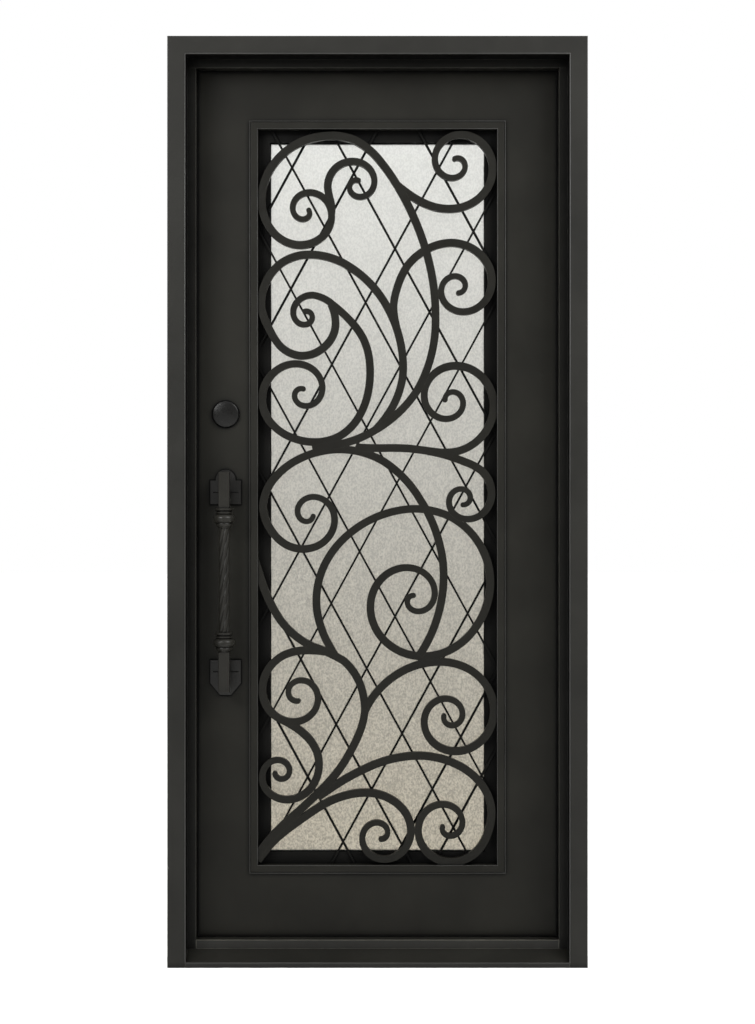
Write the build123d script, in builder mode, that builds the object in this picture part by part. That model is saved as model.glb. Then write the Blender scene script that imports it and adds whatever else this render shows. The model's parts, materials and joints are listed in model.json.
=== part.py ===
"""Wrought iron entry door in its welded steel frame, with forged scrollwork over textured glass.

Millimetres. X runs to the right as seen from outside, Y runs inwards and Z up. The origin is the
middle of the frame's underside. The leaf hangs on the right and opens inwards.
"""
import os
from math import atan2, cos, degrees, hypot, pi, radians, sin, tan

from build123d import *

# Frame
frame_width = 950
frame_height = 2105
frame_depth = 152
jamb_face = 40
jamb_corner_radius = 2.5

# Sill: a low lip in front, sloping up to a flat that the threshold stop stands on
sill_lip_height = 10
sill_height = 31

# Stops that the leaf closes against, measured from the frame's front face
stop_width = 20
stop_front_setback = 61
stop_depth = 33
seal_width = 12
seal_thickness = 3
seal_to_leaf = 5

# Leaf
leaf_thickness = 50
leaf_side_gap = 5
leaf_bottom_gap = 5
leaf_top_gap = 5
lock_edge_bevel = 3
leaf_edge_radius = 1.5
stile_width = 134.5
top_rail_height = 128.5
bottom_rail_height = 160

# Raised moulding round the glazed opening
moulding_reveal = 2
moulding_width = 18
moulding_proud = 6
moulding_depth = 20
moulding_edge_radius = 3

# Scroll bars, all in one plane; their centre lines are drawn for an opening of the drawn size
scroll_setback = 100
scroll_depth = 16
scroll_width = 18
scroll_tip_width = 12
scroll_taper = 300
scroll_offcut = 1000
drawn_half_width = 275.5
drawn_bottom = 216
drawn_top = 1911.5

# Diamond lattice of thin rods behind the scrolls: where each one crosses the middle height of the
# opening, falling to the right or rising to the right, and how far it leans over half the height
lattice_rod = 4.5
falling_rods = (-514, -382, -241, -110, 62, 218, 354, 557)
rising_rods = (-613, -463, -273, -113, 27, 191, 355, 495, 592)
lattice_run = 462

# Glazed sash behind the lattice
sash_clearance = 2
sash_face = 45
sash_rebate = 10
sash_lip = 8
glass_thickness = 16
sash_hinge_height = 60
sash_hinge_width = 36
sash_hinge_thickness = 3
sash_hinge_barrel = 5
sash_latch_height = 70
sash_latch_width = 24

# Hinges of the leaf
hinge_barrel_radius = 11
hinge_pin_radius = 6
hinge_pin_clearance = 0.3
hinge_barrel_clearance = 1
hinge_knuckle_height = 60
hinge_knuckle_gap = 1
hinge_strap_length = 40
hinge_strap_thickness = 5
hinge_heights = (260, 1050, 1840)

# Lock
backset = 80
deadbolt_height = 1255
rose_radius = 30
rose_thickness = 9
rose_edge_radius = 2.5
rose_dome_rise = 2.5
thumbturn_length = 44
thumbturn_thickness = 9
thumbturn_reach = 20
faceplate_width = 25
faceplate_height = 58
faceplate_thickness = 2
bolt_radius = 8
strike_width = 32
strike_height = 72
strike_hole_depth = 28

# Pull handles, which keep their distance below the deadbolt
pull_below_deadbolt = 128
pull_stand_off = 37
pull_bar = 25
pull_bar_chamfer = 2
pull_plate_thickness = 6
pull_plate_width = 70
pull_post = 18
pull_arch_radius = 22.5
pull_top = 1127
pull_upper_ear_top = 1102
pull_upper_ear_bottom = 1047.5
pull_lower_ear_top = 688
pull_lower_ear_bottom = 635
pull_bottom = 608
pull_upper_block_top = 1121
pull_upper_block_bottom = 1038
pull_lower_block_top = 709.5
pull_lower_block_bottom = 619
pull_groove_height = 2.4
pull_groove_depth = 2
pull_groove_margin = 5
grip_radius = 12.5
grip_flutes = 6
grip_flute_depth = 2
grip_twist = 410

# Turned collar at each end of the grip, as radius and distance from its top: two thin rings, a
# bulge and a ring that narrows
collar_rings = ((20, 0), (20, 4.5), (17, 6), (17, 7.5), (19, 8.5), (19, 12), (17.5, 13.5))
collar_bulge = (25, 24)
collar_foot = ((18.5, 34), (19, 35.5), (17.5, 40), (13.5, 45))

# Worked-out planes and edges
front = -frame_depth / 2
back = frame_depth / 2
jamb_inner = frame_width / 2 - jamb_face
head_underside = frame_height - jamb_face
stop_front = front + stop_front_setback
stop_back = stop_front + stop_depth
stop_inner = jamb_inner - stop_width
seal_back = stop_back + seal_thickness
leaf_front = seal_back + seal_to_leaf
leaf_back = leaf_front + leaf_thickness
leaf_middle = (leaf_front + leaf_back) / 2
leaf_half = jamb_inner - leaf_side_gap
leaf_bottom = sill_height + leaf_bottom_gap
leaf_top = head_underside - leaf_top_gap
opening_half = leaf_half - stile_width
opening_bottom = leaf_bottom + bottom_rail_height
opening_top = leaf_top - top_rail_height
moulding_front = leaf_front - moulding_proud
moulding_back = moulding_front + moulding_depth
moulding_outer = opening_half - moulding_reveal
moulding_inner = moulding_outer - moulding_width
scroll_front = front + scroll_setback
scroll_back = scroll_front + scroll_depth
lattice_back = scroll_back + lattice_rod
sash_front = lattice_back
hinge_x = (jamb_inner + leaf_half) / 2
hinge_y = leaf_back + hinge_barrel_clearance + hinge_barrel_radius
pull_x = backset - leaf_half
pull_lift = deadbolt_height - pull_below_deadbolt - pull_top

os.makedirs("parts", exist_ok=True)


def save(part, node):
    """Label one finished sub-part and write its file."""
    part.label = node
    export_step(part, f"parts/{node}.step")


def facing(y):
    """Plane across the doorway at depth y, drawn as seen from outside, extruded inwards."""
    return Plane(origin=(0, y, 0), x_dir=(1, 0, 0), z_dir=(0, -1, 0))


def level(z):
    """Horizontal plane at height z."""
    return Plane.XY.offset(z)


def upright(x_low, x_high, y_low, y_high, z_low, z_high):
    """Straight member with a rectangular section, extruded upwards."""
    with BuildPart() as member:
        with BuildSketch(level(z_low)):
            with Locations(((x_low + x_high) / 2, (y_low + y_high) / 2)):
                Rectangle(x_high - x_low, y_high - y_low)
        extrude(amount=z_high - z_low)
    return member.part


def ring(half_outer, half_inner, bottom, top, wall, y_low, y_high):
    """Rectangular ring standing across the doorway, its outside from bottom to top."""
    with BuildPart() as loop:
        with BuildSketch(facing(y_low)):
            with Locations((0, (bottom + top) / 2)):
                Rectangle(2 * half_outer, top - bottom)
                Rectangle(2 * half_inner, top - bottom - 2 * wall, mode=Mode.SUBTRACT)
        extrude(amount=-(y_high - y_low))
    return loop.part


# Frame: two jambs and a head of one section, mitred and welded
strike_pocket = upright(
    -jamb_inner - faceplate_thickness, -jamb_inner,
    leaf_middle - strike_width / 2, leaf_middle + strike_width / 2,
    deadbolt_height - strike_height / 2, deadbolt_height + strike_height / 2,
)
with BuildPart() as strike_bore:
    with BuildSketch(Plane(origin=(-jamb_inner, leaf_middle, deadbolt_height), z_dir=(-1, 0, 0))):
        Circle(bolt_radius + 1)
    extrude(amount=strike_hole_depth)

for side, node in ((-1, "jamb_lock_side"), (1, "jamb_hinge_side")):
    with BuildPart() as jamb:
        with BuildSketch(level(0)):
            with Locations((side * (frame_width - jamb_face) / 2, 0)):
                RectangleRounded(jamb_face, frame_depth, jamb_corner_radius)
        extrude(amount=frame_height)
        mitre = Plane(origin=(side * frame_width / 2, 0, frame_height), z_dir=(-side, 0, 1))
        split(bisect_by=mitre, keep=Keep.BOTTOM)
        if side < 0:
            add(strike_pocket, mode=Mode.SUBTRACT)
            add(strike_bore.part, mode=Mode.SUBTRACT)
    save(jamb.part, node)

head_end = Plane(
    origin=(-frame_width / 2, 0, frame_height - jamb_face / 2), x_dir=(0, 0, 1), z_dir=(1, 0, 0)
)
with BuildPart() as head:
    with BuildSketch(head_end):
        RectangleRounded(jamb_face, frame_depth, jamb_corner_radius)
    extrude(amount=frame_width)
    for side in (-1, 1):
        mitre = Plane(origin=(side * frame_width / 2, 0, frame_height), z_dir=(-side, 0, 1))
        split(bisect_by=mitre, keep=Keep.TOP)
save(head.part, "frame_head")

# Sill between the jambs, drawn in section and extruded across
with BuildPart() as sill:
    with BuildSketch(Plane(origin=(-jamb_inner, 0, 0), x_dir=(0, 1, 0), z_dir=(1, 0, 0))):
        with BuildLine():
            Polyline(
                (front, 0), (front, sill_lip_height), (stop_front, sill_height),
                (back, sill_height), (back, 0), close=True,
            )
        make_face()
    extrude(amount=2 * jamb_inner)
save(sill.part, "sill")

# Stops: two sides under a head, and a low one on the sill
save(
    upright(-jamb_inner, -stop_inner, stop_front, stop_back, sill_height, head_underside - stop_width),
    "stop_lock_side",
)
save(
    upright(stop_inner, jamb_inner, stop_front, stop_back, sill_height, head_underside - stop_width),
    "stop_hinge_side",
)
save(
    upright(-jamb_inner, jamb_inner, stop_front, stop_back, head_underside - stop_width, head_underside),
    "stop_head",
)
save(
    upright(-stop_inner, stop_inner, stop_front, stop_back, sill_height, sill_height + stop_width),
    "threshold_stop",
)

# Weatherstrip on the back of all four stops
seal_inset = (stop_width - seal_width) / 2
save(
    ring(
        stop_inner + seal_inset + seal_width, stop_inner + seal_inset,
        sill_height + seal_inset, head_underside - seal_inset, seal_width, stop_back, seal_back,
    ),
    "frame_weatherstrip",
)

# Strike plate let into the lock jamb
with BuildPart() as strike:
    add(strike_pocket)
    add(strike_bore.part, mode=Mode.SUBTRACT)
save(strike.part, "strike_plate")

# Lock stile, its edge bevelled so that the outer corner clears the jamb as it opens
bevel_setback = leaf_thickness * tan(radians(lock_edge_bevel))
edge_centre = (-leaf_half + bevel_setback / 2, leaf_middle, deadbolt_height)
lock_edge = Plane(
    origin=edge_centre, x_dir=(0, 0, 1),
    z_dir=(-cos(radians(lock_edge_bevel)), -sin(radians(lock_edge_bevel)), 0),
)
with BuildPart() as faceplate:
    with BuildSketch(lock_edge):
        RectangleRounded(faceplate_height, faceplate_width, faceplate_width / 8)
    extrude(amount=-faceplate_thickness)
    with BuildSketch(lock_edge):
        Circle(bolt_radius)
    extrude(amount=-strike_hole_depth)
save(faceplate.part, "bolt_faceplate")

with BuildPart() as lock_stile:
    with BuildSketch(level(leaf_bottom)):
        with BuildLine():
            Polyline(
                (-leaf_half, leaf_back), (-opening_half, leaf_back), (-opening_half, leaf_front),
                (-leaf_half + bevel_setback, leaf_front), close=True,
            )
        make_face()
        fillet(vertices().group_by(Axis.X)[:-1], radius=leaf_edge_radius)
    extrude(amount=leaf_top - leaf_bottom)
    add(faceplate.part, mode=Mode.SUBTRACT)
save(lock_stile.part, "lock_stile")

with BuildPart() as hinge_stile:
    with BuildSketch(level(leaf_bottom)):
        with Locations((leaf_half - stile_width / 2, leaf_middle)):
            Rectangle(stile_width, leaf_thickness)
        fillet(vertices().group_by(Axis.X)[-1], radius=leaf_edge_radius)
    extrude(amount=leaf_top - leaf_bottom)
save(hinge_stile.part, "hinge_stile")

save(upright(-opening_half, opening_half, leaf_front, leaf_back, opening_top, leaf_top), "top_rail")
save(
    upright(-opening_half, opening_half, leaf_front, leaf_back, leaf_bottom, opening_bottom),
    "bottom_rail",
)

# Moulding round the opening: a proud front on a base that fills the opening's edge
moulding_base = moulding_depth - moulding_proud - moulding_reveal
with BuildPart() as moulding:
    add(
        ring(
            moulding_outer, moulding_inner, opening_bottom + moulding_reveal,
            opening_top - moulding_reveal, moulding_width, moulding_front, moulding_back,
        )
    )
    fillet(edges().group_by(Axis.Y)[0], radius=moulding_edge_radius)
    add(
        ring(
            opening_half, moulding_inner, opening_bottom, opening_top,
            moulding_width + moulding_reveal, moulding_back - moulding_base, moulding_back,
        )
    )
save(moulding.part, "glazing_moulding")


# Scroll bars
def fit_to_opening(point):
    """A point of the scrollwork as drawn, moved to where the real opening has it."""
    drawn_middle = (drawn_bottom + drawn_top) / 2
    clear_top = opening_top - moulding_reveal - moulding_width
    clear_bottom = opening_bottom + moulding_reveal + moulding_width
    rise = (point[1] - drawn_middle) * (clear_top - clear_bottom) / (drawn_top - drawn_bottom)
    return (point[0] * moulding_inner / drawn_half_width, (clear_bottom + clear_top) / 2 + rise)


def curl(entry, eye, tip_radius, sweep, tightness):
    """Points of a spiral from the entry in round its eye, one for each thirty degrees or so."""
    entry_radius = hypot(entry[0] - eye[0], entry[1] - eye[1])
    entry_angle = degrees(atan2(entry[1] - eye[1], entry[0] - eye[0]))
    steps = round(abs(sweep) / 30)
    points = []
    for step in range(1, steps + 1):
        share = step / steps
        reach = tip_radius + (entry_radius - tip_radius) * (1 - share) ** tightness
        angle = radians(entry_angle + sweep * share)
        points.append((eye[0] + reach * cos(angle), eye[1] + reach * sin(angle)))
    return points


def scroll_bar(stem, head=None, tail=None):
    """Flat bar forged along its stem, drawn down to a rounded tip where it curls round an eye."""
    route = list(stem)
    if head:
        route = curl(stem[0], *head)[::-1] + route
    if tail:
        route = route + curl(stem[-1], *tail)
    route = [fit_to_opening(point) for point in route]
    centre = Spline(*route)
    bends = [centre.param_at_point(point) for point in route]
    stations = [bends[0]]
    for before, after in zip(bends, bends[1:]):
        stations += [(before + after) / 2, after]
    left, right = [], []
    for station in stations:
        point = centre.position_at(station)
        along = centre.tangent_at(station)
        from_head = station * centre.length / scroll_taper if head else 1
        from_tail = (1 - station) * centre.length / scroll_taper if tail else 1
        drawn = min(1, from_head, from_tail)
        half = (scroll_tip_width + (scroll_width - scroll_tip_width) * drawn) / 2
        left.append((point.X - along.Y * half, point.Y + along.X * half))
        right.append((point.X + along.Y * half, point.Y - along.X * half))
    with BuildPart() as bar:
        with BuildSketch(facing(scroll_front)):
            with BuildLine():
                for edge in (left, right):
                    for start in range(0, len(edge) - 2, 2):
                        ThreePointArc(edge[start], edge[start + 1], edge[start + 2])
                for end, curled, outward in ((0, head, -1), (-1, tail, 1)):
                    if curled:
                        middle = centre.position_at(stations[end])
                        bulge = centre.tangent_at(stations[end]) * outward * scroll_tip_width / 2
                        ThreePointArc(left[end], middle + bulge, right[end])
                    else:
                        Line(left[end], right[end])
            make_face()
        extrude(amount=-scroll_depth)
    return bar.part


scroll_bars = {
    "scroll_top_left": scroll_bar(
        [(-150, 1173), (-91, 1185), (-52, 1196), (-8, 1217), (91, 1309), (134, 1477), (111, 1636),
         (45, 1784), (8, 1837), (-54, 1888), (-115, 1897), (-194, 1874), (-247, 1821), (-267, 1742),
         (-235, 1669)],
        tail=((-166, 1723), 8, 520, 1.4),
    ),
    "curl_top_left": scroll_bar(
        [(-107, 1718), (-108, 1745), (-115, 1779), (-99, 1821)], tail=((-47, 1784), 11, -429, 1.55)
    ),
    "scroll_top_right": scroll_bar(
        [(45, 1784), (78, 1759), (120, 1737), (169, 1729)], tail=((181, 1834), 11, 561, 1.4)
    ),
    "scroll_mid_left": scroll_bar(
        [(-12, 1212), (22, 1252), (58, 1341), (58, 1389), (20, 1507), (-70, 1599), (-169, 1623),
         (-223, 1603), (-260, 1553), (-267, 1496), (-247, 1447), (-227, 1415), (-177, 1390), (-128, 1406),
         (-99, 1447), (-97, 1470), (-107, 1509)],
    ),
    "scroll_inner_left": scroll_bar(
        [(-149, 1530), (-103, 1508), (-62, 1470), (-33, 1430), (-18, 1373), (-21, 1309),
         (-45, 1246), (-87, 1205), (-140, 1191), (-202, 1203), (-251, 1242), (-266, 1295)],
        head=((-164, 1481), 12, 395, 2.6),
        tail=((-174, 1304), 10, -470, 1.7),
    ),
    "scroll_upper_right": scroll_bar(
        [(49, 1432), (41, 1468), (37, 1505), (45, 1545), (70, 1599), (115, 1636)],
        tail=((186, 1548), 13, -574, 1.8),
    ),
    "scroll_mid_right": scroll_bar(
        [(-50, 1179), (13, 1177), (74, 1176), (136, 1168), (186, 1170)],
        tail=((168, 1288), 12, 619, 1.5),
    ),
    "curl_mid_right": scroll_bar(
        [(115, 1170), (157, 1161), (202, 1145)], tail=((198, 1060), 14, -539, 2)
    ),
    "stem_branch": scroll_bar(
        [(-285, 925), (-271, 882), (-227, 784), (-152, 720), (-78, 686), (-33, 607), (-29, 574)]
    ),
    "scroll_centre_left": scroll_bar(
        [(97, 699), (146, 817), (150, 923), (98, 1059), (13, 1147), (-87, 1174), (-190, 1147),
         (-239, 1106), (-264, 1043), (-247, 990)],
        tail=((-158, 1023), 10, 500, 1.5),
    ),
    "scroll_centre_right": scroll_bar(
        [(-96, 695), (-112, 722), (-140, 804), (-120, 912), (-62, 982), (54, 1034), (169, 1018), (248, 930),
         (260, 862), (247, 801), (214, 747)],
        tail=((84, 829), 8, -590, 1.65),
    ),
    "stem_root": scroll_bar(
        [(-286, 224), (-264, 256), (-240, 285), (-195, 327), (-160, 359), (-121, 397), (-87, 437), (-58, 485),
         (-37, 533), (-29, 584)]
    ),
    "scroll_lower_left": scroll_bar(
        [(-120, 707), (-165, 710), (-214, 700)], tail=((-184, 608), 15, 525, 1.5)
    ),
    "curl_lower_left": scroll_bar(
        [(-222, 551), (-198, 538), (-165, 513), (-140, 476)], tail=((-223, 428), 14, -561, 2.3)
    ),
    "scroll_lower_right": scroll_bar(
        [(-29, 570), (-16, 594), (54, 660), (157, 683), (214, 665)],
        tail=((167, 556), 14, -618, 1.7),
    ),
    "scroll_bottom_right": scroll_bar(
        [(-137, 372), (-103, 395), (-13, 444), (99, 467), (197, 439), (239, 402), (262, 349), (255, 291)],
        tail=((160, 304), 10, -521, 1.1),
    ),
    "scroll_bottom_centre": scroll_bar(
        [(-276, 226), (-254, 254), (-230, 279), (-200, 303), (-155, 335), (-112, 361), (-70, 376), (-16, 381),
         (33, 365), (66, 333)],
        tail=((6, 284), 10, -477, 1.3),
    ),
}

# Each bar is coped to those before it, so that they meet face to face
fitted = {"moulding": moulding.part}
for node, bar in scroll_bars.items():
    for neighbour in fitted.values():
        if bar.bounding_box().overlaps(neighbour.bounding_box()):
            bar = bar - neighbour
    whole = [solid for solid in bar.solids() if solid.volume > scroll_offcut]
    fitted[node] = Compound(whole)
small_curls = [fitted[node] for node in scroll_bars if node.startswith("curl")]
for node in scroll_bars:
    if not node.startswith("curl"):
        save(fitted[node], node)
save(Compound([solid for small_curl in small_curls for solid in small_curl.solids()]), "small_curls")

# Lattice rods, fused where they cross; their ends are held between moulding and sash
opening_middle = (opening_bottom + opening_top) / 2
with BuildPart() as lattice:
    with BuildSketch(facing(scroll_back)):
        for lean, crossings in ((lattice_run, falling_rods), (-lattice_run, rising_rods)):
            for crossing in crossings:
                upper = fit_to_opening((crossing - lean, drawn_top))
                lower = fit_to_opening((crossing + lean, drawn_bottom))
                drop, across = upper[1] - lower[1], lower[0] - upper[0]
                with Locations(((upper[0] + lower[0]) / 2, opening_middle)):
                    Rectangle(
                        lattice_rod, 2 * hypot(drop, across), rotation=degrees(atan2(across, drop))
                    )
        with Locations((0, opening_middle)):
            Rectangle(2 * opening_half, opening_top - opening_bottom, mode=Mode.INTERSECT)
    extrude(amount=-lattice_rod)
save(lattice.part, "diamond_lattice")

# Sash: a rebated frame, the sealed glass unit in its rebate and a bead that holds the glass
sash_outer = opening_half - sash_clearance
sash_bottom = opening_bottom + sash_clearance
sash_top = opening_top - sash_clearance
sash_inner = sash_outer - sash_face
glass_half = sash_inner + sash_rebate
glass_front = sash_front + sash_lip
glass_back = glass_front + glass_thickness
rebate_wall = sash_face - sash_rebate
with BuildPart() as sash:
    add(ring(sash_outer, sash_inner, sash_bottom, sash_top, sash_face, sash_front, glass_front))
    add(ring(sash_outer, glass_half, sash_bottom, sash_top, rebate_wall, glass_front, leaf_back))
save(sash.part, "sash_frame")
save(
    upright(
        -glass_half, glass_half, glass_front, glass_back,
        sash_bottom + rebate_wall, sash_top - rebate_wall,
    ),
    "glass_unit",
)
save(
    ring(
        glass_half, sash_inner, sash_bottom + rebate_wall, sash_top - rebate_wall,
        sash_rebate, glass_back, leaf_back,
    ),
    "glazing_bead",
)

# Sash hinges and latches on the inner face, across the joint between sash and leaf
sash_joint = (sash_outer + opening_half) / 2
sash_fitting_heights = [
    sash_bottom + (sash_top - sash_bottom) * share for share in (0.1, 0.5, 0.9)
]
with BuildPart() as sash_fittings:
    for height in sash_fitting_heights:
        with BuildSketch(facing(leaf_back)):
            with Locations((sash_joint, height)):
                Rectangle(sash_hinge_width, sash_hinge_height)
        extrude(amount=-sash_hinge_thickness)
        with BuildSketch(level(height - sash_hinge_height / 2)):
            with Locations((sash_joint, leaf_back + sash_hinge_thickness)):
                Circle(sash_hinge_barrel)
        extrude(amount=sash_hinge_height)
        with BuildSketch(facing(leaf_back)):
            with Locations((-sash_joint, height)):
                Rectangle(sash_latch_width, sash_latch_height)
        extrude(amount=-sash_hinge_thickness)
        with BuildSketch(facing(leaf_back + sash_hinge_thickness)):
            with Locations((-sash_joint, height)):
                SlotOverall(sash_latch_height * 0.8, sash_latch_width / 2, rotation=90)
        extrude(amount=-2 * sash_hinge_thickness)
    with BuildSketch(facing(front)):
        with Locations((0, frame_height / 2)):
            Rectangle(frame_width, frame_height)
    extrude(amount=-(leaf_back - front), mode=Mode.SUBTRACT)
save(sash_fittings.part, "sash_hinges_and_latches")


# Hinges of the leaf: the lower knuckle with its pin is on the frame, the upper one on the leaf
def knuckle(height, side):
    """Barrel on the hinge line with the strap that welds it to the frame (1) or the leaf (-1)."""
    strap_start = hinge_x + side * hinge_barrel_radius / 2
    strap_end = hinge_x + side * hinge_strap_length
    with BuildPart() as half:
        with BuildSketch(level(height)):
            with Locations((hinge_x, hinge_y)):
                Circle(hinge_barrel_radius)
            with Locations(((strap_start + strap_end) / 2, leaf_back + hinge_strap_thickness / 2)):
                Rectangle(hinge_strap_length - hinge_barrel_radius / 2, hinge_strap_thickness)
        extrude(amount=hinge_knuckle_height)
    return half.part


def hinge_column(height, radius, length):
    """Upright cylinder on the hinge line."""
    with BuildPart() as column:
        with BuildSketch(level(height)):
            with Locations((hinge_x, hinge_y)):
                Circle(radius)
        extrude(amount=length)
    return column.part


pin_length = hinge_knuckle_height * 0.8
with BuildPart() as frame_hinges:
    for height in hinge_heights:
        lower = height - hinge_knuckle_height - hinge_knuckle_gap / 2
        add(knuckle(lower, 1))
        add(hinge_column(lower, hinge_pin_radius, hinge_knuckle_height + hinge_knuckle_gap + pin_length))
save(frame_hinges.part, "frame_hinge_halves")

with BuildPart() as leaf_hinges:
    for height in hinge_heights:
        upper = height + hinge_knuckle_gap / 2
        add(knuckle(upper, -1))
        bore = hinge_column(
            upper, hinge_pin_radius + hinge_pin_clearance, pin_length + hinge_pin_clearance
        )
        add(bore, mode=Mode.SUBTRACT)
save(leaf_hinges.part, "leaf_hinge_halves")

# Deadbolt: a plain domed rose outside, a rose with a thumbturn inside
outside_rose = Plane(origin=(pull_x, leaf_front, deadbolt_height), x_dir=(1, 0, 0), z_dir=(0, 0, -1))
dome_radius = rose_radius - rose_edge_radius
dome_sphere = (dome_radius ** 2 + rose_dome_rise ** 2) / (2 * rose_dome_rise)
dome_half_way = (dome_sphere ** 2 - (dome_radius / 2) ** 2) ** 0.5 - dome_sphere + rose_dome_rise
edge_corner = rose_edge_radius * cos(radians(45))
with BuildPart() as rose:
    with BuildSketch(outside_rose):
        with BuildLine():
            Line((0, 0), (rose_radius, 0))
            Line((rose_radius, 0), (rose_radius, rose_thickness - rose_edge_radius))
            ThreePointArc(
                (rose_radius, rose_thickness - rose_edge_radius),
                (dome_radius + edge_corner, rose_thickness - rose_edge_radius + edge_corner),
                (dome_radius, rose_thickness),
            )
            ThreePointArc(
                (dome_radius, rose_thickness),
                (dome_radius / 2, rose_thickness + dome_half_way),
                (0, rose_thickness + rose_dome_rise),
            )
            Line((0, rose_thickness + rose_dome_rise), (0, 0))
        make_face()
    revolve(axis=Axis((pull_x, leaf_front, deadbolt_height), (0, 1, 0)))
save(rose.part, "deadbolt_rose")

with BuildPart() as thumbturn:
    with BuildSketch(facing(leaf_back)):
        with Locations((pull_x, deadbolt_height)):
            Circle(rose_radius)
    extrude(amount=-rose_thickness)
    with BuildSketch(facing(leaf_back + rose_thickness)):
        with Locations((pull_x, deadbolt_height)):
            SlotOverall(thumbturn_length, thumbturn_thickness, rotation=90)
    extrude(amount=-thumbturn_reach)
save(thumbturn.part, "thumbturn")

# Pull handle outside, and one with a plain grip turned half round inside
bar_back = leaf_front - pull_stand_off
bar_front = bar_back - pull_bar
bar_axis = (bar_back + bar_front) / 2
plate_front = leaf_front - pull_plate_thickness
ear = pull_plate_width / 2
post_heights = (
    (pull_upper_ear_top + pull_upper_ear_bottom) / 2, (pull_lower_ear_top + pull_lower_ear_bottom) / 2
)
handle_face = Plane(origin=(pull_x, plate_front, pull_lift), x_dir=(1, 0, 0), z_dir=(0, -1, 0))
with BuildPart() as plates:
    with BuildSketch(handle_face):
        arch_foot = pull_top - pull_arch_radius
        with BuildLine():
            Polyline(
                (-pull_arch_radius, arch_foot), (-pull_arch_radius, pull_upper_ear_top),
                (-ear, pull_upper_ear_top), (-ear, pull_upper_ear_bottom),
                (ear, pull_upper_ear_bottom), (ear, pull_upper_ear_top),
                (pull_arch_radius, pull_upper_ear_top), (pull_arch_radius, arch_foot),
            )
            ThreePointArc((-pull_arch_radius, arch_foot), (0, pull_top), (pull_arch_radius, arch_foot))
        make_face()
        with BuildLine():
            Polyline(
                (-ear, pull_lower_ear_top), (ear, pull_lower_ear_top), (ear, pull_lower_ear_bottom),
                (pull_bar / 2, pull_bottom), (-pull_bar / 2, pull_bottom),
                (-ear, pull_lower_ear_bottom), close=True,
            )
        make_face()
    extrude(amount=-pull_plate_thickness)
    with BuildSketch(handle_face):
        with Locations(*((0, height) for height in post_heights)):
            Rectangle(pull_post, pull_post)
    extrude(amount=plate_front - bar_back)
    groove_length = ear - pull_groove_margin - pull_post / 2
    with BuildSketch(handle_face):
        for side in (-1, 1):
            with Locations(*((side * (pull_post + groove_length) / 2, height) for height in post_heights)):
                Rectangle(groove_length, pull_groove_height)
    extrude(amount=-pull_groove_depth, mode=Mode.SUBTRACT)


def collar():
    """Turned collar, drawn downwards from its top, at the origin."""
    with BuildPart() as turned:
        with BuildSketch(Plane.XZ):
            with BuildLine():
                Polyline((0, 0), *((radius, -reach) for radius, reach in collar_rings))
                ThreePointArc(
                    (collar_rings[-1][0], -collar_rings[-1][1]), (collar_bulge[0], -collar_bulge[1]),
                    (collar_foot[0][0], -collar_foot[0][1]),
                )
                Polyline(
                    *((radius, -reach) for radius, reach in collar_foot), (0, -collar_foot[-1][1]), (0, 0)
                )
            make_face()
        revolve(axis=Axis.Z)
    return turned.part


grip_top = pull_upper_block_bottom - collar_foot[-1][1]
grip_bottom = pull_lower_block_top + collar_foot[-1][1]
valley = grip_radius - grip_flute_depth
flute_step = 2 * pi / grip_flutes
with BuildSketch(level(grip_bottom)) as flutes:
    with BuildLine():
        for flute in range(grip_flutes):
            ThreePointArc(
                (valley * cos(flute * flute_step), valley * sin(flute * flute_step)),
                (grip_radius * cos((flute + 0.5) * flute_step),
                 grip_radius * sin((flute + 0.5) * flute_step)),
                (valley * cos((flute + 1) * flute_step), valley * sin((flute + 1) * flute_step)),
            )
    make_face()
twist = Solid.extrude_linear_with_rotation(
    flutes.sketch.face(), (0, 0, grip_bottom), (0, 0, grip_top - grip_bottom), grip_twist
)
bar_blocks = (
    (pull_lower_block_bottom, pull_lower_block_top), (pull_upper_block_bottom, pull_upper_block_top)
)
with BuildPart() as blocks:
    for bottom, top in bar_blocks:
        with BuildSketch(level(bottom)):
            RectangleRounded(pull_bar, pull_bar, pull_bar_chamfer)
        extrude(amount=top - bottom)
with BuildPart() as twisted_grip:
    add(blocks.part)
    add(twist)
    add(Pos(0, 0, pull_upper_block_bottom) * collar())
    add(Pos(0, 0, grip_bottom) * collar())
with BuildPart() as plain_grip:
    add(blocks.part)
    with BuildSketch(level(pull_lower_block_top)):
        Circle(grip_radius)
    extrude(amount=pull_upper_block_bottom - pull_lower_block_top)

grip_place = Pos(pull_x, bar_axis, pull_lift)
turn_round = Axis((pull_x, leaf_middle, 0), (0, 0, 1))
save(plates.part, "outer_pull_plates")
save(grip_place * twisted_grip.part, "outer_pull_grip")
save(plates.part.rotate(turn_round, 180), "inner_pull_plates")
save((grip_place * plain_grip.part).rotate(turn_round, 180), "inner_pull_grip")
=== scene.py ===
import json
from math import cos, pi, radians, sin

import bmesh
import bpy
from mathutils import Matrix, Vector, noise


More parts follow.
